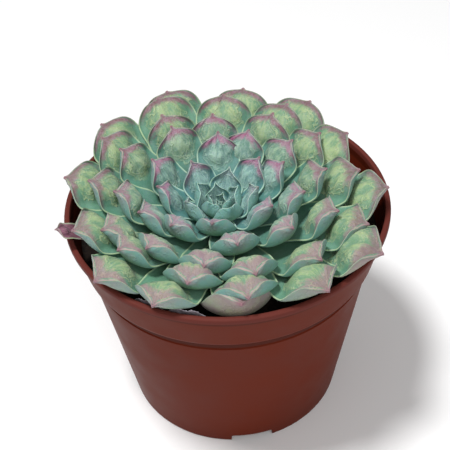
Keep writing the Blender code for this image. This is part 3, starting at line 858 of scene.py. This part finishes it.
def make_leaf(number, base, tip, spread, skin):
    """One leaf of the rosette. Each row of its grid wraps round the midline, over the upper face and
    back under the lower one."""
    leaf = leaf_shape(number, base, tip, spread)
    outline = leaf_outline(leaf)
    ring = leaf_ring()
    bm = bmesh.new()
    layers = {name: bm.verts.layers.float.new(name) for name in LEAF_MARKS}
    bmesh.ops.create_grid(bm, x_segments=LEAF_STEPS, y_segments=len(ring), size=1.0)
    for vert in bm.verts:
        step = round((vert.co.x + 1) / 2 * LEAF_STEPS)
        upper, v, rounding = ring[round((vert.co.y + 1) / 2 * len(ring)) % len(ring)]
        left = leaf.whole * (1.0 - step / LEAF_STEPS) ** 1.5
        share = half_width(leaf, left)
        fold = fold_at(left, v * share, number) * smooth(2.0, 14.0, number)
        vert.co = leaf_point(leaf, left, v, upper, rounding, share, fold)
        below = 0.0 if upper and not rounding else leaf.edge * (1.0 - rounding)
        marks = {
            "left": left,
            "across": v * share,
            "rim_mm": outline.find((v * share * leaf.half, left * leaf.unit, 0.0))[2] + below,
            "upper_face": 1.0 if upper else 0.0,
            "ring": spread / REACH,
            "tone": number * 1.7,
            "dried": 1.0 if number == SHRIVELLED else 0.0,
            "sunny": 0.5 + 0.5 * leaf.out.y,
            "fold": fold,
        }
        for name, layer in layers.items():
            vert[layer] = marks[name]
    bmesh.ops.remove_doubles(bm, verts=bm.verts, dist=0.0005)
    bmesh.ops.holes_fill(bm, edges=bm.edges, sides=0)
    name = f"leaf_{number:02d}" if number >= 0 else f"bud_leaf_{-number}"
    on_root(finished(bm, name, skin), "rosette")


def make_stem(skin):
    """The stem, spun with its levels 1 mm apart and then drawn out along its leaning centre line."""
    up = crown_axes()[0]
    levels = [
        (stem_centre(STEM_FOOT), STEM_RADIUS - 1.0),
        (stem_centre(STEM_FOOT + 2.0), STEM_RADIUS),
        (stem_centre(MIX_TOP), STEM_RADIUS),
        (CROWN - up * BASE_DROP_LAST, STEM_RADIUS + 1.0),
        (CROWN - up * 10.0, STEM_RADIUS + 1.0),
        (CROWN - up * 5.0, 2.4),
    ]
    profile = [(0.0, 0.0)] + [(radius, float(k)) for k, (_, radius) in enumerate(levels)]
    bm = spun(profile + [(0.0, len(levels) - 1.0)], 32, closed=False)
    for vert in bm.verts:
        middle = levels[round(vert.co.z)][0]
        vert.co = Vector((vert.co.x + middle.x, vert.co.y + middle.y, middle.z))
    on_root(finished(bm, "stem", skin), "rosette")


def make_withered(papery):
    """The dead leaves: crumpled scraps on the mix, two of which lean up to the lip."""
    for index, (turn, foot, length, width, climb) in enumerate(WITHERED, start=1):
        bm = bmesh.new()
        bmesh.ops.create_grid(bm, x_segments=40, y_segments=26, size=1.0)
        turned = Matrix.Rotation(math.radians(turn), 3, "Z")
        slope = math.radians(climb)
        for vert in bm.verts:
            u, v = (vert.co.x + 1) / 2, vert.co.y
            taper = 0.35 + 0.65 * math.cos(2.2 * (u - 0.45))
            taper *= 1.0 + 0.3 * noise.noise(Vector((u * 8.0, index * 3.0, math.copysign(1.0, v))))
            crumple = abs(noise.noise(Vector((u * 2.3, v * 1.4, index * 7.0))))
            fine = abs(noise.noise(Vector((u * 7.0, v * 4.0, index * 5.0))))
            spread = turned @ Vector((foot + length * u * math.cos(slope), v * width / 2 * taper, 0.0))
            lift = length * u * math.sin(slope) + 0.5 * v * v + (1.6 * crumple + 1.4 * fine) * u
            height = mix_top(spread.x, spread.y) + GAP + WITHERED_LIFT + lift
            vert.co = Vector((spread.x, spread.y, height))
        bmesh.ops.solidify(bm, geom=bm.faces, thickness=WITHERED_SKIN)
        scrap = finished(bm, f"dead_leaf_{index}", papery)
        on_root(scrap, f"withered_leaf_{index}")


# Stage


def make_floor(paper):
    bm = bmesh.new()
    bmesh.ops.create_grid(bm, x_segments=1, y_segments=1, size=FLOOR_HALF)
    floor = finished(bm, "floor", paper)


def make_lights():
    """A white room, a lamp above on the left and a weaker one at the front."""
    world = bpy.data.worlds.new("soft_room")
    world.use_nodes = True
    background = world.node_tree.nodes["Background"]
    background.inputs["Color"].default_value = (1.0, 1.0, 1.0, 1.0)
    background.inputs["Strength"].default_value = ROOM_STRENGTH
    bpy.context.scene.world = world
    for name, place, size, power in LIGHTS:
        light = bpy.data.lights.new(name, "AREA")
        light.shape = "DISK"
        light.size = size
        light.energy = power
        lamp = bpy.data.objects.new(name, light)
        lamp.location = place
        lamp.rotation_euler = (LIGHT_TARGET - lamp.location).to_track_quat("-Z", "Y").to_euler()
        bpy.context.scene.collection.objects.link(lamp)


def make_camera():
    """The photograph's view: from the front and 42 degrees above, turned 3 degrees about its axis."""
    forward = Vector((0.0, math.cos(CAMERA_ELEVATION), -math.sin(CAMERA_ELEVATION)))
    right = Vector((1.0, 0.0, 0.0))
    above = right.cross(forward)
    across = right * math.cos(CAMERA_ROLL) - above * math.sin(CAMERA_ROLL)
    upright = right * math.sin(CAMERA_ROLL) + above * math.cos(CAMERA_ROLL)
    camera = bpy.data.cameras.new("camera")
    camera.sensor_width = SENSOR
    camera.lens = SENSOR * FOCAL_PIXELS / PICTURE_PIXELS
    camera.clip_start = 0.01
    camera.clip_end = 20.0
    eye = bpy.data.objects.new("camera", camera)
    place = CAMERA_TARGET - forward * CAMERA_DISTANCE
    eye.matrix_world = Matrix(
        (
            (across.x, upright.x, -forward.x, place.x),
            (across.y, upright.y, -forward.y, place.y),
            (across.z, upright.z, -forward.z, place.z),
            (0.0, 0.0, 0.0, 1.0),
        )
    )
    bpy.context.scene.collection.objects.link(eye)
    bpy.context.scene.camera = eye


def build():
    bpy.context.scene.view_settings.view_transform = "Standard"
    make_pot(new_material("moulded_polypropylene", moulded_polypropylene))
    make_mix(new_material("milled_peat", milled_peat))
    skin = new_material("waxy_leaf", waxy_leaf)
    for number, base, tip, spread in leaf_places():
        make_leaf(number, base, tip, spread, skin)
    make_stem(skin)
    make_withered(new_material("papery_dead_leaf", papery_dead_leaf))
    make_floor(new_material("white_paper", white_paper))
    make_lights()
    make_camera()


build()
